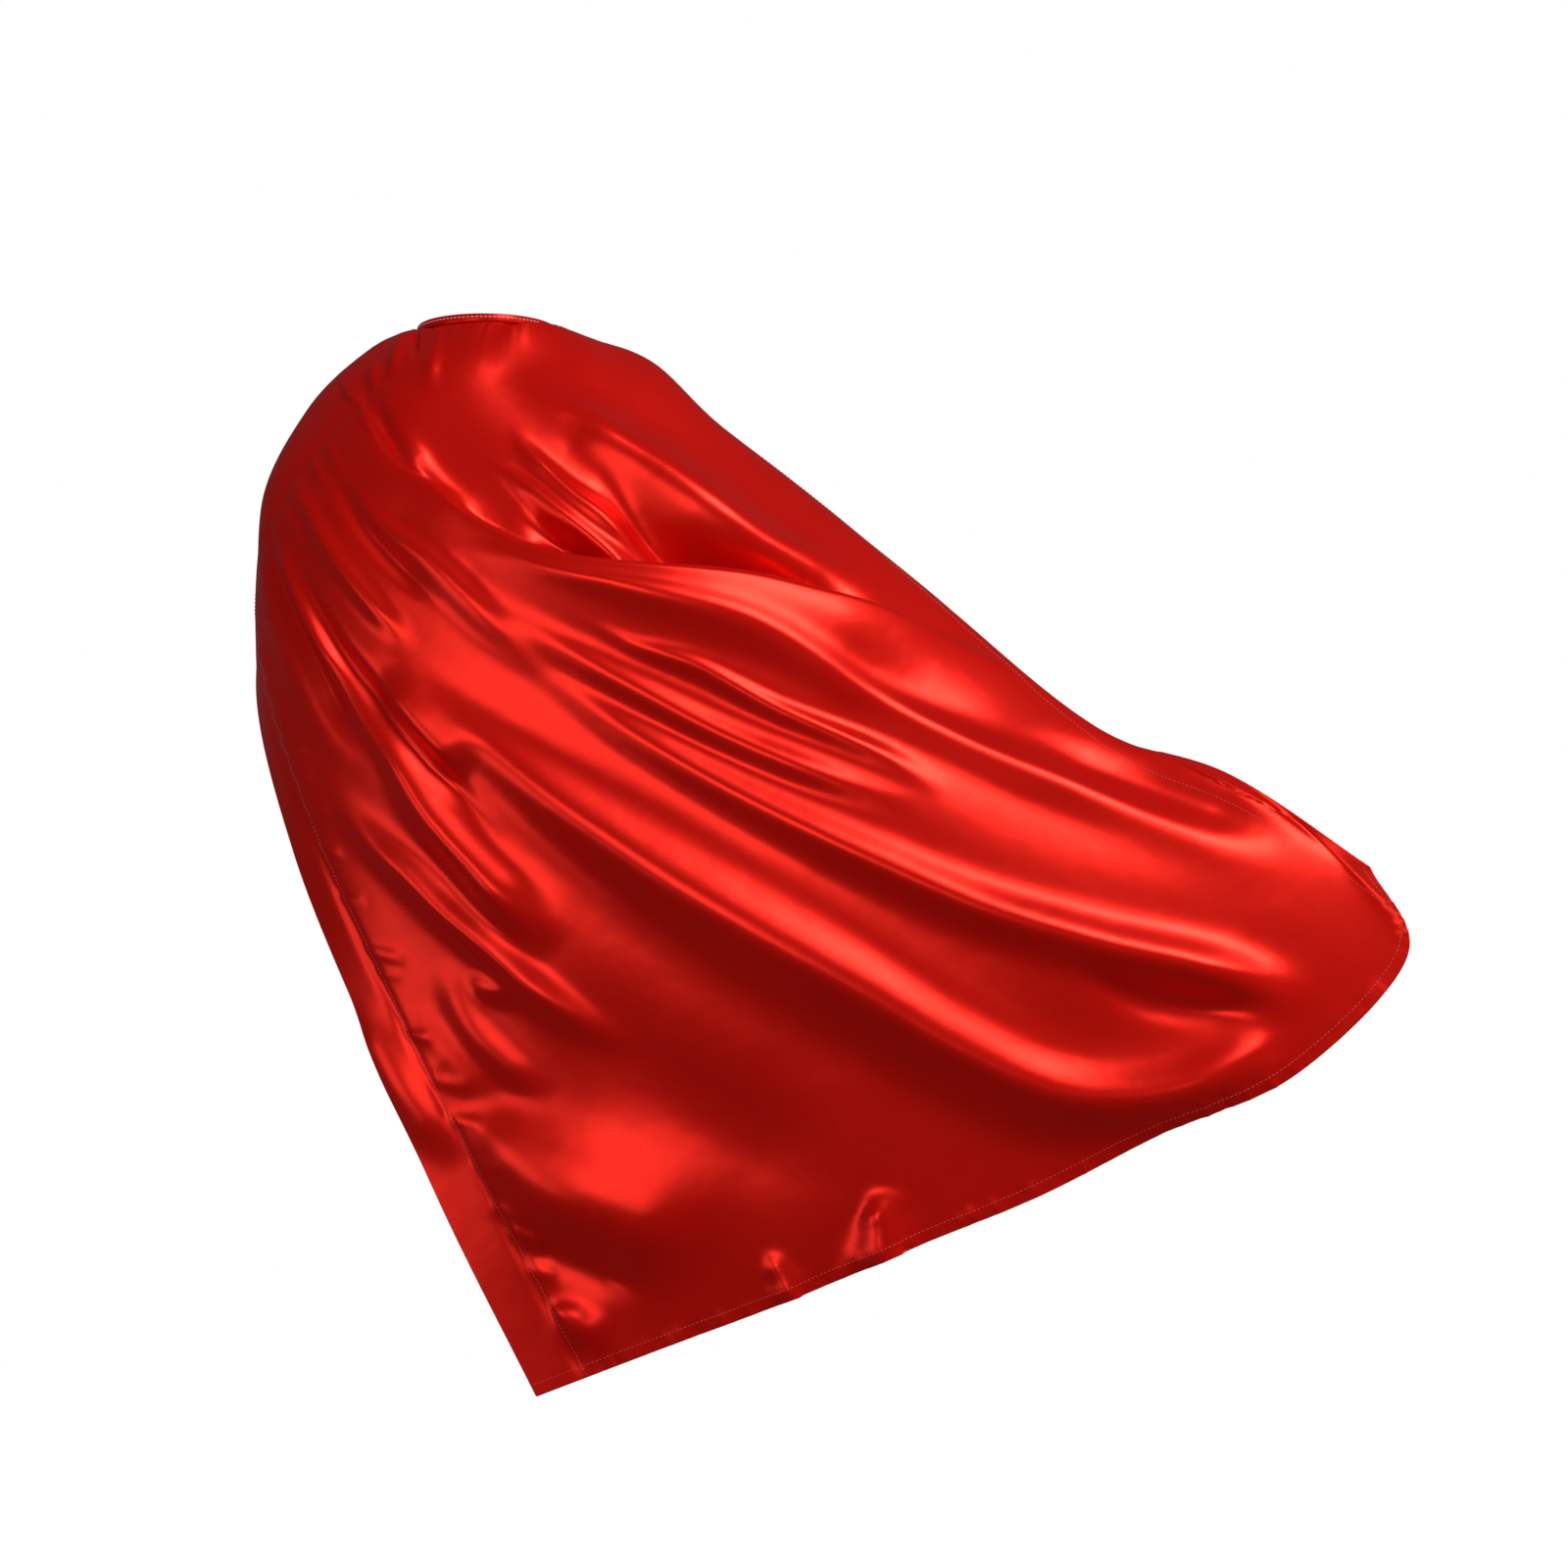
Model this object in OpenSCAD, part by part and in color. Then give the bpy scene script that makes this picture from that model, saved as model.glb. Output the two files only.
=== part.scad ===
// Superhero cape: one satin panel gathered into a narrow neck band that closes
// at the throat with a hook-and-loop tab.  It is shown worn, blown out behind the
// wearer and towards their right.
// Frame: origin at the centre of the neck opening, +Z up, the wearer faces -Y and
// +X is the wearer's left.  Lengths are in millimetres.

/* [Cape] */
// Length of the cloth from the neck band to the hem
cape_length = 1050; // [950:10:1150]
// Thickness of the panel solid
panel_t = 1.2; // [0.8:0.1:1.6]
// Depth of the folded bottom hem
hem_depth = 10; // [8:1:20]
// Width of each front facing, counted in cloth strips 24 mm wide
facing_strips = 2; // [1:1:3]
// Thickness of the facings, the hem fold and the label
fold_t = 0.8; // [0.4:0.1:1]

/* [Neck band] */
// Inner radius of the closed neck band
neck_r = 60; // [57:1:62]
// Height of the neck band
band_h = 7; // [6:1:10]
// Thickness of each of the band's three layers
layer_t = 0.7; // [0.5:0.1:0.8]
// Tilt of the band, raised at the nape
band_tilt = 7.5; // [5:0.5:9]

/* [Closure tab] */
// Angle that the free part of the tab covers past the throat
tab_reach = 32; // [28:1:36]
// Thickness of the tab's cloth
tab_t = 0.8; // [0.6:0.1:1]
// Thickness of the hook tape and of the loop tape
tape_t = 0.8; // [0.6:0.1:1]

/* [Stitching] */
// Width of the sewing thread lines
thread_w = 1; // [0.6:0.1:1.4]
// Thickness of the sewing thread lines
thread_t = 0.4; // [0.3:0.1:0.6]

/* [Hidden] */
$fn = 96;

satin = [0.72, 0.02, 0.03];
satin_inside = [0.6, 0.02, 0.03];
thread = [0.85, 0.25, 0.22];
tape = [0.35, 0.02, 0.03];
paper_white = [0.9, 0.9, 0.88];

// Air left between two layers of cloth in one body
layer_gap = 0.3;
// The thread's two faces, measured outwards from the cloth
thread_near = thread_t / 2;
thread_far = thread_near + thread_t;
// Radius of the band's outside, where the loop tape and the tab's base are sewn
band_out_r = neck_r + 3 * layer_t;
// Radii of the tab's two faces, clear of both tapes
tab_in_r = band_out_r + 2 * tape_t + layer_gap;
tab_out_r = tab_in_r + tab_t;
// The band's two ends, as angles each side of the throat
band_end = 4;
tab_fold = 3.7;
tab_base_end = 15;
tape_from = 7;
tape_to = tab_reach - 5;
// The tab, the interfacing and the tapes stop short of the band's top and bottom edges
tab_inset = 0.5;
tape_inset = 1.5;
tab_h = band_h - 2 * tab_inset;
tape_h = band_h - 2 * tape_inset;
// The interfacing stops short of the band's ends, and the topstitching of the tab
interfacing_end = band_end + 1;
topstitch_clear = 2;
// Height of the topstitching above the band's lower edge
topstitch_up = 3;

// The panel hangs just under the band, from the middle of its layers
seam_clear = 0.7;
seam_drop = band_h + seam_clear;
seam_r = neck_r + 1.5 * layer_t;
radials = 8;
stations = 8;
// Control points of the worn cloth, from the neck to the hem, for a cape 1050 mm long.
// One row of points for each radial, from the left front edge over the shoulders and
// the back to the right front edge.
net_length = 1050;
RADIALS = [
    // left front edge: down the chest, over the arm, then back to the lower corner
    [[40, -90, -45], [105, -110, -110], [180, -90, -200], [210, -25, -315],
     [170, 35, -470], [100, 70, -635], [30, 90, -790], [-50, 110, -945]],
    // front of the left shoulder
    [[85, -60, -25], [145, -70, -75], [200, -30, -160], [200, 25, -275],
     [145, 75, -410], [55, 105, -560], [-50, 125, -725], [-160, 140, -900]],
    // top of the left shoulder
    [[105, 5, -20], [160, 10, -75], [190, 40, -165], [155, 95, -285],
     [70, 130, -405], [-40, 155, -540], [-155, 170, -685], [-270, 175, -855]],
    // left shoulder blade
    [[65, 70, -35], [95, 90, -90], [100, 120, -185], [40, 145, -295],
     [-55, 165, -405], [-160, 185, -525], [-270, 200, -655], [-380, 205, -805]],
    // centre back
    [[10, 90, -40], [20, 110, -95], [0, 130, -180], [-75, 160, -280],
     [-180, 185, -380], [-285, 210, -490], [-385, 220, -615], [-485, 225, -760]],
    // right shoulder blade
    [[-50, 70, -35], [-65, 105, -90], [-100, 130, -165], [-185, 155, -255],
     [-290, 190, -350], [-395, 220, -450], [-490, 240, -565], [-590, 240, -705]],
    // top of the right shoulder
    [[-95, 30, -20], [-125, 60, -65], [-175, 90, -135], [-270, 110, -215],
     [-380, 150, -310], [-495, 195, -405], [-600, 235, -510], [-700, 255, -655]],
    // front of the right shoulder
    [[-90, -30, -10], [-150, -15, -30], [-215, 20, -95], [-305, 50, -170],
     [-415, 95, -265], [-540, 150, -365], [-665, 205, -430], [-795, 250, -555]],
    // right front edge, blown back to the raised corner
    [[-35, -90, -40], [-100, -110, -60], [-190, -70, -80], [-290, -20, -150],
     [-405, 45, -245], [-525, 115, -355], [-650, 175, -400], [-765, 235, -480]],
];

// The cloth's own grid: u runs round from the left edge to the right one, v down
strips = 36;
rows = 32;
skirt_row = 20;
// Width of one strip of cloth, and the cut between upper and lower cloth in rows
strip_w = 24;
half_cut = 0.02;
// Step along the cloth that its normals are measured over
nudge = 0.01;
hem_v = 1 - hem_depth / cape_length;
facing_u = facing_strips / strips;
// How far the hem's stitches stop short of the facings' stitches
stitch_gap = 0.004;
// The label hangs from just under the seam, over part of one row
label_top = 0.1;
label_t = fold_t / 2;

// A point of the seam under the neck band, on radial k
function neck_point(k) =
    let (a = band_end + (360 - 2 * band_end) * k / radials,
         x = seam_r * sin(a), y = -seam_r * cos(a))
    [x,
     y * cos(band_tilt) + seam_drop * sin(band_tilt),
     y * sin(band_tilt) - seam_drop * cos(band_tilt)];

net = [for (k = [0:radials])
    concat([neck_point(k)], [for (p = RADIALS[k]) p * cape_length / net_length])];

// Smooth curve through the points p, at t from 0 to len(p) - 1
function spline(p, t) =
    let (last = len(p) - 1,
         i = max(0, min(floor(t), last - 1)),
         f = t - i,
         a = i > 0 ? p[i - 1] : 2 * p[0] - p[1],
         b = p[i],
         c = p[i + 1],
         d = i < last - 1 ? p[i + 2] : 2 * p[last] - p[last - 1])
    0.5 * (2 * b + (c - a) * f + (2 * a - 5 * b + 4 * c - d) * f * f
           + (3 * b - a - 3 * c + d) * f * f * f);

// The cloth's line from neck to hem at u, as control points
function line_at(u) =
    [for (j = [0:stations]) spline([for (k = [0:radials]) net[k][j]], u * radials)];

// Points of the cloth at every u and v, each with its outward normal
function cloth(us, vs) =
    [for (u = us)
        let (here = line_at(u), beside = line_at(u + nudge / radials))
        [for (v = vs)
            let (t = v * stations,
                 p = spline(here, t),
                 along = spline(here, t + nudge) - p,
                 across = spline(beside, t) - p,
                 n = cross(along, across))
            [p, n / norm(n)]]];

// A closed sheet of cloth between two distances from the panel's outer face
module sheet(us, vs, near, far) {
    g = cloth(us, vs);
    nu = len(us);
    nv = len(vs);
    count = nu * nv;
    points = [for (off = [near, far], i = [0:nu - 1], j = [0:nv - 1])
        g[i][j][0] + off * g[i][j][1]];
    quads = concat(
        [for (i = [0:nu - 2], j = [0:nv - 2])
            [i * nv + j, (i + 1) * nv + j, (i + 1) * nv + j + 1, i * nv + j + 1]],
        [for (i = [0:nu - 2], j = [0:nv - 2])
            [for (q = [i * nv + j, i * nv + j + 1, (i + 1) * nv + j + 1, (i + 1) * nv + j])
                q + count]],
        [for (i = [0:nu - 2]) [i * nv, i * nv + count, (i + 1) * nv + count, (i + 1) * nv]],
        [for (i = [0:nu - 2])
            [i * nv + nv - 1, (i + 1) * nv + nv - 1, (i + 1) * nv + nv - 1 + count,
             i * nv + nv - 1 + count]],
        [for (j = [0:nv - 2]) [j, j + 1, j + 1 + count, j + count]],
        [for (j = [0:nv - 2])
            [count - nv + j, 2 * count - nv + j, 2 * count - nv + j + 1, count - nv + j + 1]]);
    triangles = [for (q = quads, half = [0, 1])
        half == 0 ? [q[0], q[1], q[2]] : [q[0], q[2], q[3]]];
    polyhedron(points = points, faces = triangles);
}

// The rows of the cloth between two row numbers
function rows_between(first, last) = [for (j = [first:last]) j / rows];
upper_rows = concat(rows_between(0, skirt_row - 1), [(skirt_row - half_cut) / rows]);
skirt_rows = concat([(skirt_row + half_cut) / rows], rows_between(skirt_row + 1, rows - 1),
                    [hem_v, 1]);
all_strips = [for (i = [0:strips]) i / strips];
left_strips = [for (i = [0:facing_strips]) i / strips];
right_strips = [for (i = [0:facing_strips]) 1 - facing_u + i / strips];
hem_strips = [for (i = [facing_strips:strips - facing_strips]) i / strips];
hem_stitch_strips = concat([facing_u + stitch_gap],
                           [for (i = [facing_strips + 1:strips - facing_strips - 1]) i / strips],
                           [1 - facing_u - stitch_gap]);
inner_face = -panel_t;
fold_near = inner_face - layer_gap;
fold_far = fold_near - fold_t;

// Everything on the neck band is drawn level and then tilted with it
module on_band() {
    rotate([band_tilt, 0, 0]) children();
}

// A flat strip bent round the neck, from angle a to angle b anticlockwise of the throat
module band_arc(r_in, r_out, a, b, low, high) {
    rotate([0, 0, a - 90])
        rotate_extrude(angle = b - a)
            translate([r_in, low])
                square([r_out - r_in, high - low]);
}

// A line of thread down the edge of a facing
module facing_stitch(u, vs) {
    half = thread_w / 2 / (strips * strip_w);
    sheet([u - half, u + half], vs, thread_near, thread_far);
}

module upper_panel() {
    color(satin) sheet(all_strips, upper_rows, 0, inner_face);
}

module skirt_panel() {
    color(satin) sheet(all_strips, skirt_rows, 0, inner_face);
}

module left_facing_upper() {
    color(satin_inside) sheet(left_strips, upper_rows, fold_near, fold_far);
}

module right_facing_upper() {
    color(satin_inside) sheet(right_strips, upper_rows, fold_near, fold_far);
}

module left_facing_lower() {
    color(satin_inside) sheet(left_strips, skirt_rows, fold_near, fold_far);
}

module right_facing_lower() {
    color(satin_inside) sheet(right_strips, skirt_rows, fold_near, fold_far);
}

module bottom_hem() {
    color(satin_inside) sheet(hem_strips, [hem_v, 1], fold_near, fold_far);
}

module left_facing_stitch_upper() {
    color(thread) facing_stitch(facing_u, upper_rows);
}

module right_facing_stitch_upper() {
    color(thread) facing_stitch(1 - facing_u, upper_rows);
}

module left_facing_stitch_lower() {
    color(thread) facing_stitch(facing_u, skirt_rows);
}

module right_facing_stitch_lower() {
    color(thread) facing_stitch(1 - facing_u, skirt_rows);
}

module hem_stitch() {
    half = thread_w / 2 / cape_length;
    color(thread)
        sheet(hem_stitch_strips, [hem_v - half, hem_v + half], thread_near, thread_far);
}

module neck_band_inner() {
    color(satin_inside)
        on_band() band_arc(neck_r, neck_r + layer_t, band_end, 360 - band_end, -band_h, 0);
}

module neck_band_interfacing() {
    color(paper_white)
        on_band()
            band_arc(neck_r + layer_t, neck_r + 2 * layer_t, interfacing_end,
                     360 - interfacing_end, tab_inset - band_h, -tab_inset);
}

module neck_band_outer() {
    color(satin)
        on_band() band_arc(neck_r + 2 * layer_t, band_out_r, band_end, 360 - band_end, -band_h, 0);
}

module neck_stitch() {
    line = topstitch_up - band_h;
    color(thread)
        on_band()
            band_arc(band_out_r, band_out_r + thread_t, tab_base_end + topstitch_clear,
                     360 - tab_reach - topstitch_clear, line, line + thread_w);
}

module loop_tape() {
    color(tape)
        on_band()
            band_arc(band_out_r, band_out_r + tape_t, 360 - tape_to, 360 - tape_from,
                     -tape_inset - tape_h, -tape_inset);
}

module tab_base() {
    color(satin)
        on_band()
            band_arc(band_out_r, tab_out_r, band_end, tab_base_end, -tab_inset - tab_h,
                     -tab_inset);
}

module closure_tab() {
    color(satin)
        on_band()
            band_arc(tab_in_r, tab_out_r, -tab_reach, tab_fold, -tab_inset - tab_h, -tab_inset);
}

module hook_tape() {
    color(tape)
        on_band()
            band_arc(tab_in_r - tape_t, tab_in_r, -tape_to, -tape_from, -tape_inset - tape_h,
                     -tape_inset);
}

module care_label() {
    middle = strips / 2;
    color(paper_white)
        sheet([(middle - 1) / strips, middle / strips, (middle + 1) / strips],
              [label_top / rows, 1 / rows], fold_near, fold_near - label_t);
}

upper_panel();
left_facing_upper();
right_facing_upper();
left_facing_stitch_upper();
right_facing_stitch_upper();
neck_band_outer();
neck_band_inner();
neck_band_interfacing();
neck_stitch();
loop_tape();
tab_base();
care_label();
closure_tab();
hook_tape();
skirt_panel();
left_facing_lower();
right_facing_lower();
left_facing_stitch_lower();
right_facing_stitch_lower();
bottom_hem();
hem_stitch();
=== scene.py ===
import math
import random

import bpy
import numpy as np
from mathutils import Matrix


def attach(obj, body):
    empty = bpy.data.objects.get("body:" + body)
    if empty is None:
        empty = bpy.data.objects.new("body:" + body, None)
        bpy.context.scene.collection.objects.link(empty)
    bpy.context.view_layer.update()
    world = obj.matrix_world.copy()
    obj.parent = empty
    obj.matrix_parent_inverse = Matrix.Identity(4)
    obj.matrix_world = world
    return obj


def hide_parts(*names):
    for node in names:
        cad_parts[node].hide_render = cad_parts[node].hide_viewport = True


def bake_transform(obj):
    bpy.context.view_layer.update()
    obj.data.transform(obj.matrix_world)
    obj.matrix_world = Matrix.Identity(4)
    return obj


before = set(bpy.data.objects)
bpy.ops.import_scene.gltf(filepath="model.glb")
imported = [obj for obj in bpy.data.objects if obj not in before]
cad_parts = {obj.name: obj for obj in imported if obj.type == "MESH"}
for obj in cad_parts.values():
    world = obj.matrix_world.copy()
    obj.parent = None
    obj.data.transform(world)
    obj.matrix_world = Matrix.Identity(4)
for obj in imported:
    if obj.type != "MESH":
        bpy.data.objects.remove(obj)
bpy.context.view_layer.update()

MM = 0.001
SEED = 7

# ---------------------------------------------------------------- the worn cloth
# The same smooth surface as the CAD panel: radials run from the left front edge over the
# shoulders and the back to the right front edge, stations from the neck band to the hem.
RADIALS = 8
STATIONS = 8
NECK_R = 0.060
LAYER = 0.0007  # one cloth layer of the neck band
BAND_H = 0.007
BAND_TILT = math.radians(7.5)
BAND_END = math.radians(4)
SEAM_R = NECK_R + 1.5 * LAYER
SEAM_DROP = BAND_H + 0.0007
NET_MM = [
    # left front edge
    [[40, -90, -45], [105, -110, -110], [180, -90, -200], [210, -25, -315],
     [170, 35, -470], [100, 70, -635], [30, 90, -790], [-50, 110, -945]],
    # front of the left shoulder
    [[85, -60, -25], [145, -70, -75], [200, -30, -160], [200, 25, -275],
     [145, 75, -410], [55, 105, -560], [-50, 125, -725], [-160, 140, -900]],
    # top of the left shoulder
    [[105, 5, -20], [160, 10, -75], [190, 40, -165], [155, 95, -285],
     [70, 130, -405], [-40, 155, -540], [-155, 170, -685], [-270, 175, -855]],
    # left shoulder blade
    [[65, 70, -35], [95, 90, -90], [100, 120, -185], [40, 145, -295],
     [-55, 165, -405], [-160, 185, -525], [-270, 200, -655], [-380, 205, -805]],
    # centre back
    [[10, 90, -40], [20, 110, -95], [0, 130, -180], [-75, 160, -280],
     [-180, 185, -380], [-285, 210, -490], [-385, 220, -615], [-485, 225, -760]],
    # right shoulder blade
    [[-50, 70, -35], [-65, 105, -90], [-100, 130, -165], [-185, 155, -255],
     [-290, 190, -350], [-395, 220, -450], [-490, 240, -565], [-590, 240, -705]],
    # top of the right shoulder
    [[-95, 30, -20], [-125, 60, -65], [-175, 90, -135], [-270, 110, -215],
     [-380, 150, -310], [-495, 195, -405], [-600, 235, -510], [-700, 255, -655]],
    # front of the right shoulder
    [[-90, -30, -10], [-150, -15, -30], [-215, 20, -95], [-305, 50, -170],
     [-415, 95, -265], [-540, 150, -365], [-665, 205, -430], [-795, 250, -555]],
    # right front edge
    [[-35, -90, -40], [-100, -110, -60], [-190, -70, -80], [-290, -20, -150],
     [-405, 45, -245], [-525, 115, -355], [-650, 175, -400], [-765, 235, -480]],
]

# How finely the cloth is meshed, across and down
STRIPS = 300
ROWS = 320

# The camera, and the view that the folds are drawn in: from straight behind
EYE = np.array([-0.267, 4.5, -0.409])
SEEN_WIDTH = 1.408  # how much the camera sees across, on the plane y = 0
SENSOR = 36


def spline(points, t):
    """Smooth curve through points, along their first axis, at t from 0 to their number - 1."""
    points = np.asarray(points, float)
    t = np.asarray(t, float)
    last = len(points) - 1
    i = np.clip(t.astype(int), 0, last - 1)
    f = (t - i).reshape(t.shape + (1,) * (points.ndim - 1))
    first = 2 * points[0] - points[1]
    beyond = 2 * points[-1] - points[-2]
    padded = np.concatenate([[first], points, [beyond]])
    a, b, c, d = padded[i], padded[i + 1], padded[i + 2], padded[i + 3]
    return 0.5 * (2 * b + (c - a) * f + (2 * a - 5 * b + 4 * c - d) * f**2
                  + (3 * b - a - 3 * c + d) * f**3)


def tilted(p):
    """A point of the level neck band, tilted with the band."""
    x, y, z = p
    c, s = math.cos(BAND_TILT), math.sin(BAND_TILT)
    return np.array([x, y * c - z * s, y * s + z * c])


def seam_point(k):
    """Where radial k leaves the neck band."""
    a = BAND_END + (2 * math.pi - 2 * BAND_END) * k / RADIALS
    return tilted((SEAM_R * math.sin(a), -SEAM_R * math.cos(a), -SEAM_DROP))


def base_surface():
    """The smooth cloth without its folds, as a grid of points."""
    net = np.array([[seam_point(k), *(np.array(NET_MM[k]) * MM)] for k in range(RADIALS + 1)])
    lines = spline(net, np.linspace(0, RADIALS, STRIPS + 1))
    return spline(lines.swapaxes(0, 1), np.linspace(0, STATIONS, ROWS + 1)).swapaxes(0, 1)


def normals_of(grid):
    """Outward unit normals of a grid of points."""
    n = np.cross(np.gradient(grid, axis=1), np.gradient(grid, axis=0))
    return n / np.maximum(np.linalg.norm(n, axis=-1, keepdims=True), 1e-12)


def smoothstep(a, b, x):
    t = np.clip((x - a) / (b - a), 0, 1)
    return t * t * (3 - 2 * t)


def seen(grid):
    """Where each point appears, as X and Z on the plane y = 0 seen from EYE, in mm."""
    scale = EYE[1] / (EYE[1] - grid[..., 1])
    x = EYE[0] + (grid[..., 0] - EYE[0]) * scale
    z = EYE[2] + (grid[..., 2] - EYE[2]) * scale
    return np.stack([x, z], -1) / MM


# ---------------------------------------------------------------- folds
# Each fold is drawn on the back as seen from behind, from the shoulder down to the hem:
# its course in X and Z, its width at the start, middle and end, its height there, all in
# mm.  A negative height is a valley.  "lap" makes the upper flank that many times steeper
# and leans it over, as where one layer of cloth lies on another.
CREST = [(121, -69), (106, -98), (80, -128), (50, -151), (21, -178), (-8, -197), (-38, -213),
         (-82, -226), (-164, -241), (-232, -252), (-296, -266), (-355, -277), (-443, -302),
         (-500, -329)]
UPPER_FOLDS = [
    # the long fold from the nape to the right front edge, and the creases beside it
    dict(course=[(-26, -26), (-48, -48), (-70, -64), (-96, -76), (-122, -95), (-162, -121),
                 (-205, -154), (-248, -187), (-300, -214), (-356, -244), (-418, -276)],
         width=(14, 26, 26), height=(8, 30, 18), fade=(0.25, 0.3)),
    dict(course=[(-80, -80), (-98, -98), (-118, -124), (-142, -158), (-178, -194),
                 (-236, -216), (-318, -238), (-380, -256)], width=(11, 26, 28), height=(-3, -34, -26),
         fade=(0.5, 0.25)),
    dict(course=[(-28, -84), (-34, -98), (-46, -113), (-62, -129), (-84, -148), (-112, -168),
                 (-142, -192), (-172, -216), (-205, -238)], width=(7, 10, 12),
         height=(5, 11, 9), fade=(0.2, 0.3)),
    dict(course=[(4, -112), (-20, -124), (-48, -143), (-75, -165), (-102, -187), (-132, -212),
                 (-160, -238)], width=(8, 11, 12), height=(4, 11, 9), fade=(0.3, 0.3)),
    dict(course=[(78, -84), (63, -108), (52, -130), (32, -150), (6, -160), (-14, -158)],
         width=(10, 13, 16), height=(4, 9, 8), fade=(0.3, 0.4)),
    dict(course=[(-22, -152), (-48, -172), (-80, -194), (-112, -216), (-140, -232)],
         width=(8, 12, 9), height=(-2, -14, -9), fade=(0.5, 0.3)),
    # pleats that the neck band draws in on the left
    dict(course=[(59, 0), (63, -14), (61, -30)], width=(2.5, 4, 5), height=(-4, -5, -2),
         fade=(0, 0.5)),
    dict(course=[(72, -8), (78, -25), (84, -50)], width=(3, 5, 7), height=(3, 4, 2), fade=(0, 0.5)),
    dict(course=[(88, -12), (97, -32), (100, -60), (88, -100)], width=(3, 5, 9), height=(3, 4, 3),
         fade=(0, 0.4)),
    dict(course=[(80, -8), (92, -20), (105, -45)], width=(2.5, 4, 6), height=(-3, -4, -2),
         fade=(0, 0.5)),
    dict(course=[(40, -6), (44, -30), (50, -62)], width=(4, 7, 9), height=(2, 3, 2),
         fade=(0, 0.5)),
    dict(course=[(128, -28), (122, -55), (108, -82), (88, -112), (66, -138), (40, -164),
                 (10, -184)], width=(7, 9, 9), height=(4, 8, 5)),
    dict(course=[(104, -28), (100, -58), (90, -84), (74, -108), (62, -128)], width=(6, 8, 8),
         height=(-3, -7, -4)),
    dict(course=[(150, -38), (142, -62), (128, -86)], width=(6, 8, 7), height=(3, 6, 4)),
]
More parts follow.
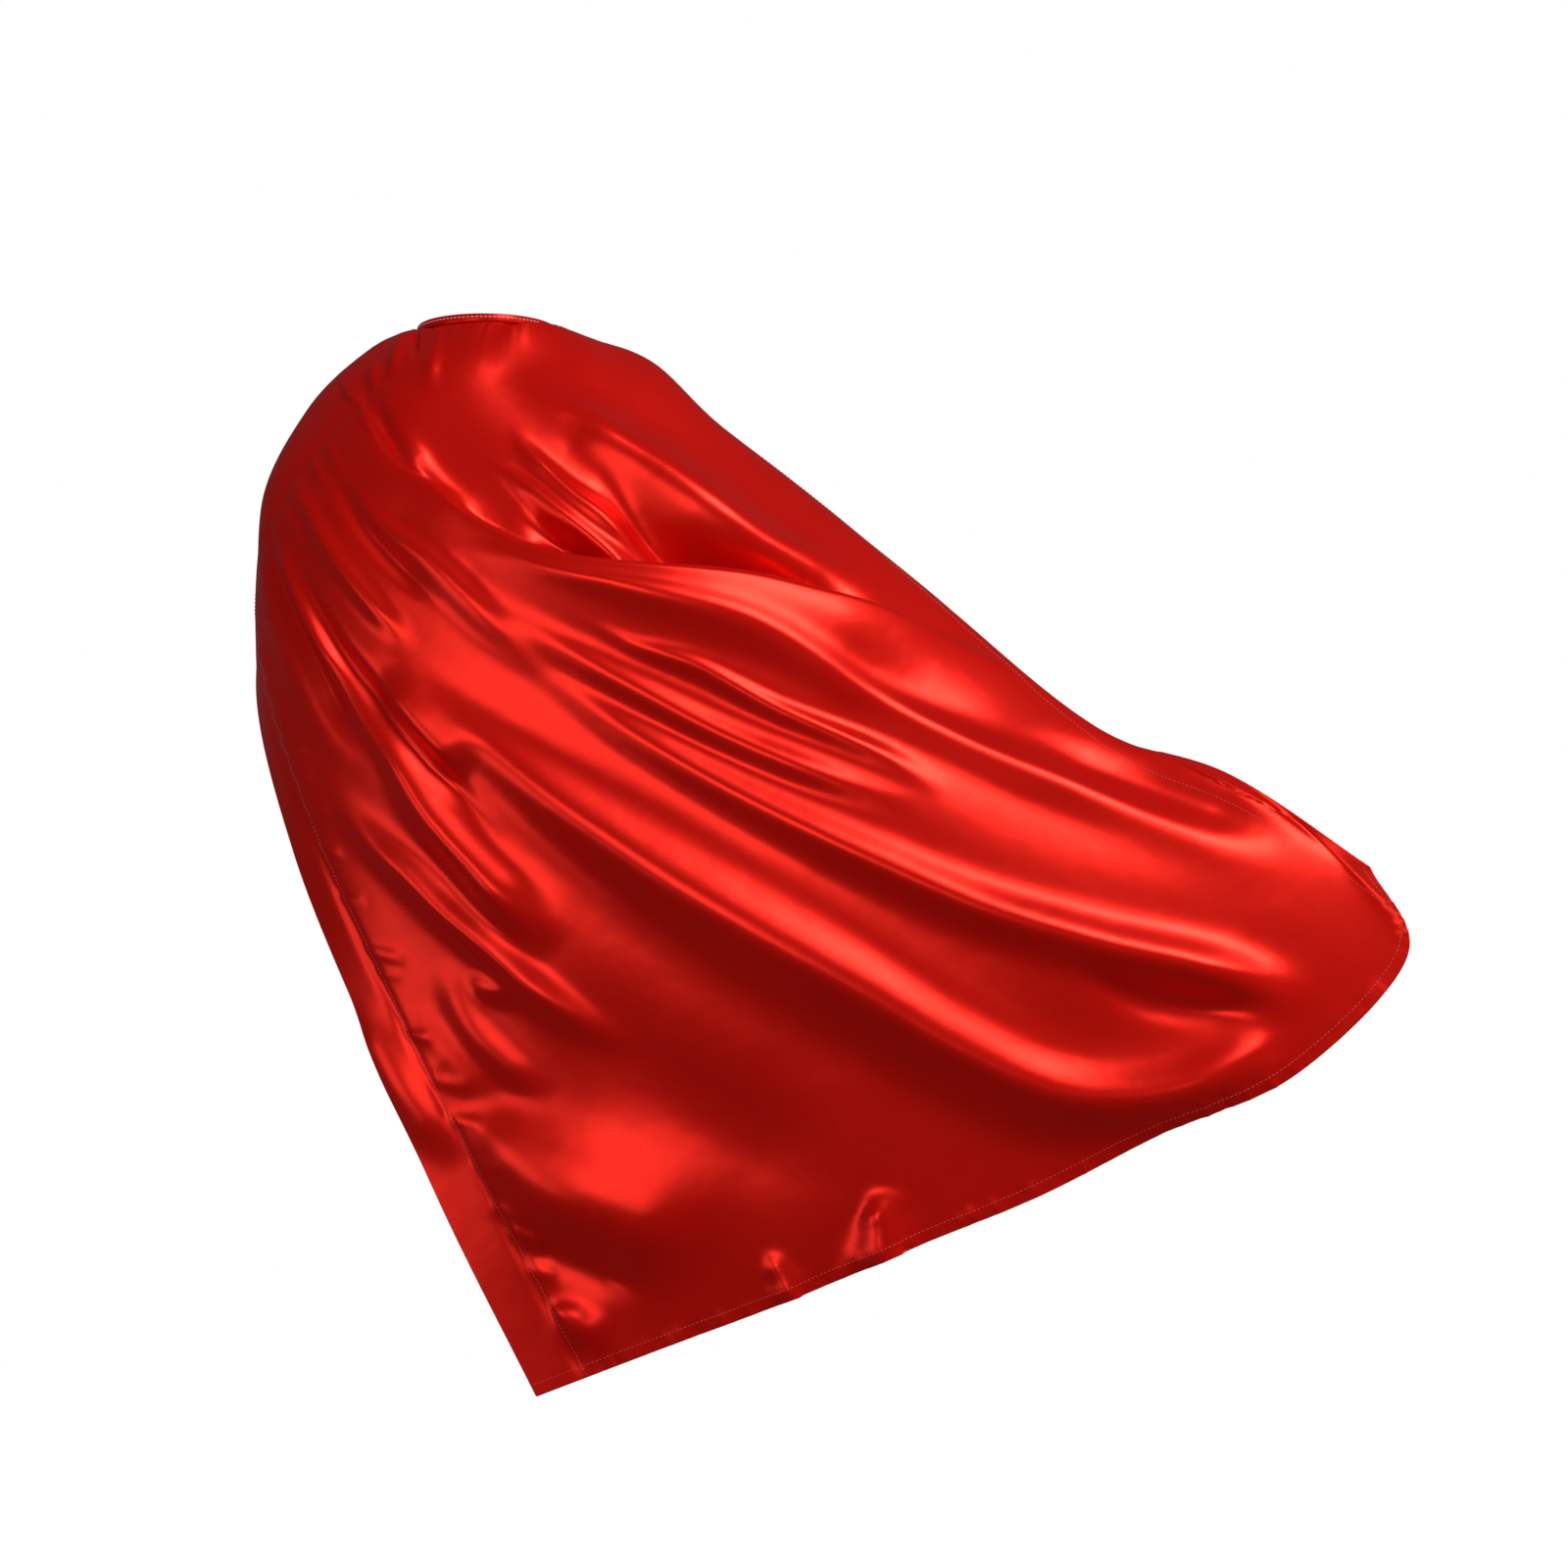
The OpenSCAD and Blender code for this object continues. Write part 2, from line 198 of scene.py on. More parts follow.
LOWER_FOLDS = [
    # long folds from the left shoulder across the back, top to bottom
    dict(course=[(66, -168), (30, -198), (0, -209), (-30, -219), (-60, -229), (-100, -240),
                 (-150, -255), (-237, -281), (-325, -321), (-413, -357), (-501, -392),
                 (-590, -421), (-676, -455), (-746, -477)],
         width=(7, 13, 22), height=(4, 8, 12)),
    dict(course=[(-70, -262), (-100, -275), (-130, -289), (-160, -298), (-200, -311),
                 (-267, -342), (-355, -377), (-428, -415)],
         width=(4, 8, 10), height=(2, 6, 6)),
    dict(course=[(125, -140), (90, -172), (50, -204), (18, -234), (-12, -262), (-45, -286),
                 (-80, -306)],
         width=(4, 13, 15), height=(2, 9, 8), fade=(0.3, 0.45)),
    dict(course=[(15, -232), (-25, -258), (-60, -280), (-100, -301), (-150, -325), (-223, -360),
                 (-311, -396), (-399, -424)],
         width=(10, 13, 12), height=(4, 9, 7)),
    dict(course=[(10, -252), (-25, -278), (-60, -303), (-111, -339), (-155, -366), (-245, -414),
                 (-355, -466), (-452, -508), (-553, -539), (-641, -559), (-720, -583),
                 (-764, -603)],
         width=(12, 19, 22), height=(6, 13, 19), fade=(0.3, 0.15)),
    dict(course=[(130, -205), (100, -250), (62, -295), (21, -340), (-53, -395), (-97, -424),
                 (-179, -475), (-267, -526), (-355, -576), (-443, -629), (-531, -667),
                 (-619, -664), (-700, -631), (-749, -627)],
         width=(14, 34, 25), height=(5, 24, 22), fade=(0.3, 0.12)),
    dict(course=[(90, -300), (50, -350), (3, -392)], width=(16, 22, 22), height=(5, 10, 8)),
    dict(course=[(-470, -352), (-540, -380), (-610, -402), (-680, -424), (-735, -446)],
         width=(10, 20, 18), height=(-3, -9, -6)),
    dict(course=[(-520, -565), (-590, -590), (-650, -598), (-705, -590)], width=(10, 18, 16),
         height=(-2, -8, -5)),
    # the left half
    dict(course=[(125, -325), (100, -355), (75, -385), (50, -420), (25, -450), (-5, -480),
                 (-40, -515), (-75, -552)], width=(7, 15, 24), height=(5, 14, 19)),
    dict(course=[(138, -380), (125, -415), (95, -452), (60, -485), (30, -515), (-5, -545),
                 (-50, -585), (-100, -620), (-150, -640)], width=(14, 13, 14), height=(8, 12, 9)),
    dict(course=[(45, -560), (22, -592), (0, -625), (-30, -655), (-70, -685)],
         width=(12, 16, 15), height=(3, 7, 4)),
    dict(course=[(15, -575), (-10, -588), (-35, -586)], width=(8, 10, 8), height=(2, 4, 2)),
    dict(course=[(58, -600), (35, -635), (5, -668), (-20, -692)], width=(12, 15, 14),
         height=(2, 4, 2)),
    dict(course=[(35, -690), (-20, -712), (-80, -738), (-150, -772), (-230, -820)],
         width=(20, 50, 44), height=(9, 22, 14), fade=(0.25, 0.3)),
    dict(course=[(-5, -785), (-50, -806), (-100, -830), (-160, -856)], width=(12, 20, 18),
         height=(-3, -9, -5)),
    dict(course=[(197, -160), (185, -215), (168, -262), (148, -305), (122, -352), (95, -392)],
         width=(8, 12, 11), height=(-5, -13, -8)),
    dict(course=[(178, -170), (160, -225), (135, -275), (110, -310), (80, -345), (45, -385),
                 (10, -422), (-25, -462)], width=(7, 10, 10), height=(-4, -11, -6)),
    dict(course=[(188, -180), (170, -235), (148, -280), (120, -322)], width=(5, 7, 6),
         height=(3, 6, 4)),
    dict(course=[(168, -130), (150, -170), (124, -208), (92, -248), (58, -286)],
         width=(6, 10, 10), height=(4, 8, 5)),
    dict(course=[(140, -118), (122, -152), (98, -186), (66, -218), (34, -246)],
         width=(6, 9, 9), height=(-3, -7, -4)),
    dict(course=[(-70, -560), (-145, -635), (-245, -700), (-350, -755)], width=(34, 46, 44),
         height=(-4, -8, -4)),
    dict(course=[(112, -590), (85, -640), (45, -700), (15, -750)], width=(16, 20, 18),
         height=(4, 9, 5)),
    # small bumps and tucks at the hem
    dict(course=[(-345, -768), (-362, -790), (-374, -822)], width=(8, 18, 26), height=(4, 11, 14),
         fade=(0.4, 0)),
    dict(course=[(-250, -824), (-266, -840), (-280, -860)], width=(7, 10, 14), height=(2, 5, 7),
         fade=(0.4, 0)),
    dict(course=[(-55, -866), (-85, -884), (-120, -898)], width=(10, 16, 14), height=(1, 6, 3)),
    dict(course=[(-18, -797), (-38, -810), (-60, -820)], width=(5, 7, 6), height=(2, 4, 3)),
]
# Where the folds above (1) and below (-1) the crest begin and are whole, in mm from it
CREST_FADE = {1: (0, 12), -1: (2, 16)}
# A course is the lit line of a fold (or the dark line of a valley), so the fold's top lies
# this share of its width to the lower left
LIT_SHIFT = 0.7
# How far the lap leans over for its height, and which way
LEAN = 0.34
LEAN_WAY = np.array([-0.45, 0, 0.89])
COURSE_STEP = 6.0  # mm between the points that a course is drawn through
REACH = 4  # widths beyond which a fold is too flat to matter
# How much a surface faces backwards where folds begin to show and where they are whole
FACING_BACK = (0.02, 0.45)


def along(three, t):
    """A value given at the start, middle and end of a fold, at t from 0 to 1."""
    first, middle, last = three
    return (first + (middle - first) * smoothstep(0, 0.5, t)
            + (last - middle) * smoothstep(0.5, 1, t))


def nearest_on(line, at):
    """(side, place): signed distance from a line, positive to its upper right, and how
    far along the line the nearest point is, from 0 to 1."""
    run = np.concatenate([[0], np.cumsum(np.linalg.norm(np.diff(line, axis=0), axis=1))])
    near = np.full(len(at), np.inf)
    side = np.zeros(len(at))
    place = np.zeros(len(at))
    for i in range(len(line) - 1):
        d = line[i + 1] - line[i]
        length = np.linalg.norm(d)
        rel = at - line[i]
        f = np.clip(rel @ d / length**2, 0, 1)
        dist = np.linalg.norm(rel - f[:, None] * d, axis=1)
        closer = dist < near
        near[closer] = dist[closer]
        side[closer] = (dist * np.sign(d[1] * rel[:, 0] - d[0] * rel[:, 1]))[closer]
        place[closer] = ((run[i] + f * length) / run[-1])[closer]
    return side, place


def fold_heights(fold, at):
    """(height, lean towards the upper right) in mm of one fold at the points at."""
    course = np.array(fold["course"], float)
    steps = int(np.linalg.norm(np.diff(course, axis=0), axis=1).sum() / COURSE_STEP)
    line = spline(course, np.linspace(0, len(course) - 1, max(steps, 4)))
    margin = REACH * max(fold["width"])
    close = ((at > line.min(0) - margin) & (at < line.max(0) + margin)).all(1)
    side, place = nearest_on(line, at[close])
    width = along(fold["width"], place)
    fade_in, fade_out = fold.get("fade", (0.3, 0.3))
    height = along(fold["height"], place)
    if fade_in:
        height = height * smoothstep(0, fade_in, place + 1e-3)
    if fade_out:
        height = height * smoothstep(1, 1 - fade_out, place)
    lap = fold.get("lap", 1)
    offset = side + (LIT_SHIFT * width if lap == 1 else 0)
    reach = np.where(offset > 0, width / lap, width)
    rise = np.zeros(len(at))
    rise[close] = height * np.exp(-((offset / reach) ** 2))
    return rise, (LEAN if lap > 1 else 0) * rise


def crest_side(at):
    """How far each point lies above the crest where one layer laps over the other, in mm."""
    line = spline(np.array(CREST, float), np.linspace(0, len(CREST) - 1, 100))
    return nearest_on(line, at)[0]


def folded(grid, folds, side=0, outward=None):
    """The surface with folds raised on it, where it faces backwards, along its own normals or
    those given as outward.  Side 1 keeps them above the crest and side -1 below it."""
    n = normals_of(grid) if outward is None else outward
    at = seen(grid).reshape(-1, 2)
    facing = smoothstep(*FACING_BACK, n[..., 1]).ravel()
    if side:
        facing = facing * smoothstep(*CREST_FADE[side], side * crest_side(at))
    rise = np.zeros(len(at))
    lean = np.zeros(len(at))
    for fold in folds:
        height, over = fold_heights(fold, at)
        rise += height
        lean += over
    rise = (rise * facing * MM).reshape(n.shape[:2] + (1,))
    lean = (lean * facing * MM).reshape(n.shape[:2] + (1,))
    return grid + n * rise + LEAN_WAY * lean


def arc_from_left(grid):
    """Length of cloth along each row, from the left front edge."""
    steps = np.linalg.norm(np.diff(grid, axis=0), axis=-1)
    return np.concatenate([np.zeros((1, grid.shape[1])), np.cumsum(steps, axis=0)])


def strip(grid, lengths, from_right=False):
    """Points of the cloth at the given distances from a front edge, on every row."""
    g = grid[::-1] if from_right else grid
    arc = arc_from_left(g)
    out = np.empty((len(lengths),) + g.shape[1:])
    for j in range(g.shape[1]):
        for k in range(3):
            out[:, j, k] = np.interp(lengths, arc[:, j], g[:, j, k])
    return out[::-1] if from_right else out


def hem_band(grid, lengths):
    """Points of the cloth at the given distances above the hem, on every line down it."""
    return strip(grid.swapaxes(0, 1), lengths, from_right=True).swapaxes(0, 1)


def pucker(start, way, rng, size=1.0):
    """One small wrinkle that a seam draws in."""
    length = rng.uniform(16, 40) * size
    w = rng.uniform(3.5, 6.5) * size
    h = rng.choice((1, 1, 1, -1)) * rng.uniform(0.8, 2.0) * size
    bow = rng.uniform(-0.25, 0.25)
    across = np.array([-way[1], way[0]])
    course = [start - 6 * way, start + 0.5 * length * way + bow * 8 * across,
              start + length * way]
    return dict(course=course, width=(w * 0.7, w, w * 1.3), height=(h, h, 0.6 * h))


def seam_puckers(line, turn, count, first, last, rng, size=1.0):
    """Wrinkles along a seam that is drawn as seen from behind; turn is their angle to it."""
    out = []
    for i in range(count):
        f = first + (last - first) * (i + rng.uniform(0, 0.8)) / count
        j = int(f * (len(line) - 2))
        d = line[j + 1] - line[j]
        d = d / np.linalg.norm(d)
        a = math.radians(turn + rng.uniform(-14, 14))
        way = np.array([d[0] * math.cos(a) - d[1] * math.sin(a),
                        d[0] * math.sin(a) + d[1] * math.cos(a)])
        out.append(pucker(line[j], way, rng, size))
    return out


# ---------------------------------------------------------------- meshes
def closed_sheet(name, outer, inner, materials, uv_size=(1.25, 1.05)):
    """A closed mesh between two grids of points, its outer side in the first material."""
    nu, nv = outer.shape[:2]
    count = nu * nv
    points = np.concatenate([outer.reshape(-1, 3), inner.reshape(-1, 3)])
    ids = np.arange(count).reshape(nu, nv)
    a, b, c, d = ids[:-1, :-1], ids[1:, :-1], ids[1:, 1:], ids[:-1, 1:]
    top = np.stack([a, d, c, b], -1).reshape(-1, 4)
    bottom = np.stack([a, b, c, d], -1).reshape(-1, 4) + count
    loop = np.concatenate([ids[:, 0], ids[-1, 1:], ids[-2::-1, -1], ids[0, -2:0:-1]])
    after = np.roll(loop, -1)
    rim = np.stack([loop, after, after + count, loop + count], -1)
    quads = np.concatenate([top, bottom, rim])
    mesh = bpy.data.meshes.new(name)
    mesh.from_pydata(points.tolist(), [], quads.tolist())
    mesh.update()
    uu, vv = np.meshgrid(np.linspace(0, uv_size[0], nu), np.linspace(0, uv_size[1], nv),
                         indexing="ij")
    flat = np.stack([uu, vv], -1).reshape(-1, 2)
    set_uv(mesh, np.concatenate([flat, flat]))
    for m in materials:
        mesh.materials.append(m)
    index = np.zeros(len(quads), np.int32)
    index[len(top):] = min(1, len(materials) - 1)
    mesh.polygons.foreach_set("material_index", index)
    mesh.polygons.foreach_set("use_smooth", np.ones(len(quads), bool))
    mark_rim(mesh, loop, count)
    obj = bpy.data.objects.new(name, mesh)
    bpy.context.scene.collection.objects.link(obj)
    return obj


def set_uv(mesh, uv):
    """Gives the mesh flat cloth coordinates in metres, one pair for each point."""
    corner = np.empty(len(mesh.loops), np.int32)
    mesh.loops.foreach_get("vertex_index", corner)
    mesh.uv_layers.new(name="cloth").data.foreach_set("uv", uv[corner].ravel())


def mark_rim(mesh, loop, count):
    """Keeps the two edges round a sheet's rim sharp."""
    on_rim = np.zeros(2 * count, bool)
    on_rim[loop] = True
    on_rim[loop + count] = True
    ends = np.empty(2 * len(mesh.edges), np.int32)
    mesh.edges.foreach_get("vertices", ends)
    ends = ends.reshape(-1, 2)
    sharp = on_rim[ends].all(1) & ((ends[:, 0] < count) == (ends[:, 1] < count))
    mesh.edges.foreach_set("use_edge_sharp", sharp)


UV_TURN = 0.001  # metres of cloth between two corners of a ring, in its flat coordinates


def swept(name, rings, material):
    """A closed mesh over rings of points: rings[i] is a loop, and the loops run on in turn."""
    rings = np.asarray(rings)
    n, sides = rings.shape[:2]
    ids = np.arange(n * sides).reshape(n, sides)
    after = np.roll(ids, -1, axis=1)
    quads = np.stack([ids[:-1], ids[1:], after[1:], after[:-1]], -1).reshape(-1, 4).tolist()
    quads += [ids[0].tolist(), ids[-1][::-1].tolist()]
    run = np.concatenate([[0], np.cumsum(np.linalg.norm(np.diff(rings[:, 0], axis=0), axis=1))])
    uv = np.stack([np.tile(np.arange(sides) * UV_TURN, n), np.repeat(run, sides)], -1)
    return plain_mesh(name, rings.reshape(-1, 3), quads, material, uv)


def plain_mesh(name, points, faces, material, uv=None):
    """A smooth-shaded object of one material."""
    mesh = bpy.data.meshes.new(name)
    mesh.from_pydata(np.asarray(points).tolist(), [], faces)
    mesh.update()
    mesh.materials.append(material)
    mesh.polygons.foreach_set("use_smooth", np.ones(len(faces), bool))
    if uv is not None:
        set_uv(mesh, uv)
    obj = bpy.data.objects.new(name, mesh)
    bpy.context.scene.collection.objects.link(obj)
    return obj


def frames_along(points, normals):
    """Unit tangents, sideways directions and normals along a line on the cloth."""
    t = np.gradient(points, axis=0)
    t /= np.maximum(np.linalg.norm(t, axis=1, keepdims=True), 1e-12)
    n = normals - (normals * t).sum(1, keepdims=True) * t
    n /= np.maximum(np.linalg.norm(n, axis=1, keepdims=True), 1e-12)
    return t, np.cross(t, n), n


ROLL_DEPTH = 0.00075
ROLL_R = 0.0008
ROLL_SIDES = 8


def edge_roll(name, points, normals, material):
    """The rounded turn of a folded edge, a thin tube centred a little below the outer face."""
    _, s, n = frames_along(points, normals)
    turn = np.linspace(0, 2 * math.pi, ROLL_SIDES, endpoint=False)
    rings = (points[:, None] - ROLL_DEPTH * n[:, None]
             + ROLL_R * (np.cos(turn)[None, :, None] * s[:, None]
                         + np.sin(turn)[None, :, None] * n[:, None]))
    return swept(name, rings, material)


# One stitch: its rings' places along it, their radii and their height over the cloth
STITCH_ALONG = (-0.5, -0.36, -0.1, 0.1, 0.36, 0.5)
STITCH_GIRTH = (0.30, 0.85, 1.0, 1.0, 0.85, 0.30)
STITCH_RISE = (-0.9, 0.1, 0.75, 0.75, 0.1, -0.9)
STITCH_SIDES = 6


def stitches(name, points, normals, material, pitch=0.0040, length=0.0030, radius=0.00032):
    """A row of separate thread stitches lying on the cloth along a line."""
    run = np.concatenate([[0], np.cumsum(np.linalg.norm(np.diff(points, axis=0), axis=1))])
    centres = np.arange(pitch, run[-1] - pitch, pitch)
    sides = STITCH_SIDES
    turn = np.linspace(0, 2 * math.pi, sides, endpoint=False)
    verts, quads = [], []
    _, s_all, n_all = frames_along(points, normals)

    def at(where, values):
        return np.stack([np.interp(where, run, values[:, k]) for k in range(3)], -1)

    for centre in centres:
        base_id = len(verts)
        for f, girth, rise in zip(STITCH_ALONG, STITCH_GIRTH, STITCH_RISE):
            where = centre + f * length
            p, s, n = at(where, points), at(where, s_all), at(where, n_all)
            for c in turn:
                verts.append(p + radius * (rise * n + girth * (math.cos(c) * s + math.sin(c) * n)))
        for i in range(len(STITCH_ALONG) - 1):
            for k in range(sides):
                q = (k + 1) % sides
                a, b = base_id + i * sides, base_id + (i + 1) * sides
                quads.append((a + k, b + k, b + q, a + q))
        last = base_id + (len(STITCH_ALONG) - 1) * sides
        quads.append(tuple(range(base_id, base_id + sides)))
        quads.append(tuple(range(last + sides - 1, last - 1, -1)))
    return plain_mesh(name, verts, quads, material)


def band_point(r, a, z):
    """A point at radius r, angle a from the throat and height z on the tilted neck band."""
    return tilted((r * math.sin(a), -r * math.cos(a), z))


def band_grid(angles, heights, radius):
    """Points over a strip bent round the neck; radius and heights may follow the angle."""
    return np.array([[band_point(radius(a), a, z) for z in heights(a)] for a in angles])


# ---------------------------------------------------------------- materials
def new_material(name):
    """An empty material, its nodes and its links."""
    m = bpy.data.materials.new(name)
    m.use_nodes = True
    m.node_tree.nodes.clear()
    return m, m.node_tree.nodes, m.node_tree.links


def shader(nodes, links, color, **inputs):
    """The surface shader, with its sockets set by name."""
    bsdf = nodes.new("ShaderNodeBsdfPrincipled")
    out = nodes.new("ShaderNodeOutputMaterial")
    links.new(bsdf.outputs[0], out.inputs["Surface"])
    bsdf.inputs["Base Color"].default_value = (*color, 1)
    for name, value in inputs.items():
        bsdf.inputs[name.replace("_", " ")].default_value = value
    return bsdf


def noise(nodes, links, scale, detail=3, coords="Object", stretch=None):
    """A noise value over the object, its texture coordinates scaled by stretch."""
    coord = nodes.new("ShaderNodeTexCoord")
    tex = nodes.new("ShaderNodeTexNoise")
    tex.inputs["Scale"].default_value = scale
    tex.inputs["Detail"].default_value = detail
    source = coord.outputs[coords]
    if stretch:
        mapping = nodes.new("ShaderNodeMapping")
        mapping.inputs["Scale"].default_value = stretch
        links.new(source, mapping.inputs["Vector"])
        source = mapping.outputs[0]
    links.new(source, tex.inputs["Vector"])
    return tex.outputs["Fac"]


def ramp(nodes, links, value, low, high):
    """Maps a value from 0..1 to low..high."""
    node = nodes.new("ShaderNodeMapRange")
    node.inputs["To Min"].default_value = low
    node.inputs["To Max"].default_value = high
    links.new(value, node.inputs["Value"])
    return node.outputs[0]


def color_mix(nodes, links, value, one, two):
    """A colour between one and two, by a value from 0 to 1."""
    node = nodes.new("ShaderNodeMix")
    node.data_type = "RGBA"
    node.inputs[6].default_value = (*one, 1)
    node.inputs[7].default_value = (*two, 1)
    links.new(value, node.inputs[0])
    return node.outputs[2]


def bump(nodes, links, value, distance, strength=1.0, under=None):
    """A normal roughened by a value, on top of the normal under it."""
    node = nodes.new("ShaderNodeBump")
    node.inputs["Distance"].default_value = distance
    node.inputs["Strength"].default_value = strength
    links.new(value, node.inputs["Height"])
    if under:
        links.new(under, node.inputs["Normal"])
    return node.outputs[0]


WEAVE_SCALE = 125  # draws about 400 threads to the metre


def weave(nodes, links, direction):
    """Fine parallel threads across or along the cloth, by its own flat coordinates."""
    coord = nodes.new("ShaderNodeTexCoord")
    tex = nodes.new("ShaderNodeTexWave")
    tex.bands_direction = direction
    tex.inputs["Scale"].default_value = WEAVE_SCALE
    tex.inputs["Distortion"].default_value = 0.6
    links.new(coord.outputs["UV"], tex.inputs["Vector"])
    return tex.outputs["Fac"]


def satin_face():
    """The shiny face of polyester satin: long floats of thread down the cloth."""
    m, nodes, links = new_material("satin_face")
    deep, bright = (0.56, 0.002, 0.0012), (0.74, 0.006, 0.003)
    bsdf = shader(nodes, links, deep, IOR=1.5, Specular_IOR_Level=1.0, Metallic=0.45,
                  Specular_Tint=(1, 0.24, 0.15, 1), Anisotropic=0.4)
    links.new(color_mix(nodes, links, noise(nodes, links, 6), deep, bright),
              bsdf.inputs["Base Color"])
    slubs = noise(nodes, links, 40, 2, "UV", (5, 1, 1))
    links.new(ramp(nodes, links, slubs, 0.28, 0.31), bsdf.inputs["Roughness"])
    ripple = bump(nodes, links, noise(nodes, links, 22, 2), 0.0006)
    threads = bump(nodes, links, weave(nodes, links, "X"), 0.00002, 0.2, ripple)
    links.new(threads, bsdf.inputs["Normal"])
    tangent = nodes.new("ShaderNodeTangent")
    tangent.direction_type = "UV_MAP"
    tangent.uv_map = "cloth"
    links.new(tangent.outputs[0], bsdf.inputs["Tangent"])
    return m


def satin_back():
    """The duller back of the same cloth."""
    m, nodes, links = new_material("satin_back")
    deep, bright = (0.27, 0.001, 0.002), (0.38, 0.003, 0.004)
    bsdf = shader(nodes, links, deep, Sheen_Weight=0.2, Sheen_Roughness=0.5,
                  Specular_IOR_Level=0.35)
    links.new(color_mix(nodes, links, noise(nodes, links, 9), deep, bright),
              bsdf.inputs["Base Color"])
    links.new(ramp(nodes, links, noise(nodes, links, 300), 0.5, 0.68), bsdf.inputs["Roughness"])
    across = bump(nodes, links, weave(nodes, links, "Y"), 0.00003, 0.7)
    links.new(across, bsdf.inputs["Normal"])
    return m


def thread_material(name, dark, light):
    """Twisted sewing thread."""
    m, nodes, links = new_material(name)
    bsdf = shader(nodes, links, light, Roughness=0.45, Sheen_Weight=0.1)
    twist = noise(nodes, links, 2500, 1)
    links.new(color_mix(nodes, links, twist, dark, light), bsdf.inputs["Base Color"])
    links.new(bump(nodes, links, twist, 0.0001), bsdf.inputs["Normal"])
    return m


def tape_material(name, color, scale, height):
    """Hook or loop tape: a ground cloth crowded with tiny hooks or loops."""
    m, nodes, links = new_material(name)
    bsdf = shader(nodes, links, color, Roughness=0.8, Sheen_Weight=0.4)
    coord = nodes.new("ShaderNodeTexCoord")
    cells = nodes.new("ShaderNodeTexVoronoi")
    cells.inputs["Scale"].default_value = scale
    links.new(coord.outputs["Object"], cells.inputs["Vector"])
    dark = tuple(0.35 * c for c in color)
    links.new(color_mix(nodes, links, cells.outputs["Distance"], color, dark),
              bsdf.inputs["Base Color"])
    links.new(bump(nodes, links, cells.outputs["Distance"], height), bsdf.inputs["Normal"])
    return m


def plain_weave(name, one, two, roughness):
    """Small plain-woven cloth, such as the label and the interfacing."""
    m, nodes, links = new_material(name)
    bsdf = shader(nodes, links, one, Roughness=roughness, Sheen_Weight=0.2)
    links.new(color_mix(nodes, links, noise(nodes, links, 900, 2), one, two),
              bsdf.inputs["Base Color"])
    links.new(bump(nodes, links, noise(nodes, links, 2200, 1), 0.0001), bsdf.inputs["Normal"])
    return m


# ---------------------------------------------------------------- scene
def area_light(name, where, target, size, power):
    """A white square lamp that faces target."""
    data = bpy.data.lights.new(name, "AREA")
    data.shape = "RECTANGLE"
    data.size = data.size_y = size
    data.energy = power
    obj = bpy.data.objects.new(name, data)
    bpy.context.scene.collection.objects.link(obj)
    obj.location = where
    d = np.array(target, float) - np.array(where, float)
    yaw = math.atan2(-d[0], d[1])
    pitch = math.atan2(d[2], math.hypot(d[0], d[1]))
    obj.rotation_euler = (pitch + math.pi / 2, 0, yaw)


def make_camera():
    """The photograph's view, from straight behind."""
    data = bpy.data.cameras.new("camera")
    data.sensor_width = SENSOR
    data.lens = SENSOR * EYE[1] / SEEN_WIDTH
    obj = bpy.data.objects.new("camera", data)
    obj.location = EYE
    obj.rotation_euler = (math.pi / 2, 0, math.pi)
    bpy.context.scene.collection.objects.link(obj)
    bpy.context.scene.camera = obj


def make_floor():
    """A white floor far below the hem, which neither lights the cape nor is mirrored in it."""
    mesh = bpy.data.meshes.new("floor")
    half, z = 4.0, -1.40
    mesh.from_pydata([(-half, -half, z), (half, -half, z), (half, half, z), (-half, half, z)], [],
                     [(0, 1, 2, 3)])
    m, nodes, links = new_material("floor")
    shader(nodes, links, (0.9, 0.9, 0.9), Roughness=0.9, Emission_Color=(1, 1, 1, 1),
           Emission_Strength=0.75)
    mesh.materials.append(m)
    obj = bpy.data.objects.new("floor", mesh)
    bpy.context.scene.collection.objects.link(obj)
    obj.visible_diffuse = obj.visible_glossy = False


# How strongly the white surroundings light the cape, and how bright they look mirrored in it
FILL = 0.24
FILL_MIRRORED = 0.10


def make_world():
    """White surroundings: bright behind the cape, dim as light, dimmer still in its gloss."""
    world = bpy.data.worlds.new("studio")
    world.use_nodes = True
    bpy.context.scene.world = world
    nodes, links = world.node_tree.nodes, world.node_tree.links
    nodes.clear()
    out = nodes.new("ShaderNodeOutputWorld")
    mix = nodes.new("ShaderNodeMixShader")
    path = nodes.new("ShaderNodeLightPath")
    fill = nodes.new("ShaderNodeBackground")
    back = nodes.new("ShaderNodeBackground")
    fill.inputs["Color"].default_value = (1, 1, 1, 1)
    dimmer = nodes.new("ShaderNodeMath")
    dimmer.operation = "MULTIPLY_ADD"
    dimmer.inputs[1].default_value = FILL_MIRRORED - FILL
    dimmer.inputs[2].default_value = FILL
    links.new(path.outputs["Is Glossy Ray"], dimmer.inputs[0])
    links.new(dimmer.outputs[0], fill.inputs["Strength"])
    back.inputs["Color"].default_value = (1, 1, 1, 1)
    back.inputs["Strength"].default_value = 1.0
    links.new(path.outputs["Is Camera Ray"], mix.inputs[0])
    links.new(fill.outputs[0], mix.inputs[1])
    links.new(back.outputs[0], mix.inputs[2])
    links.new(mix.outputs[0], out.inputs["Surface"])


MIDDLE = np.array([-0.3, 0.15, -0.45])
SOFT_BOX = 1.1
LIGHT_AWAY = 3.0


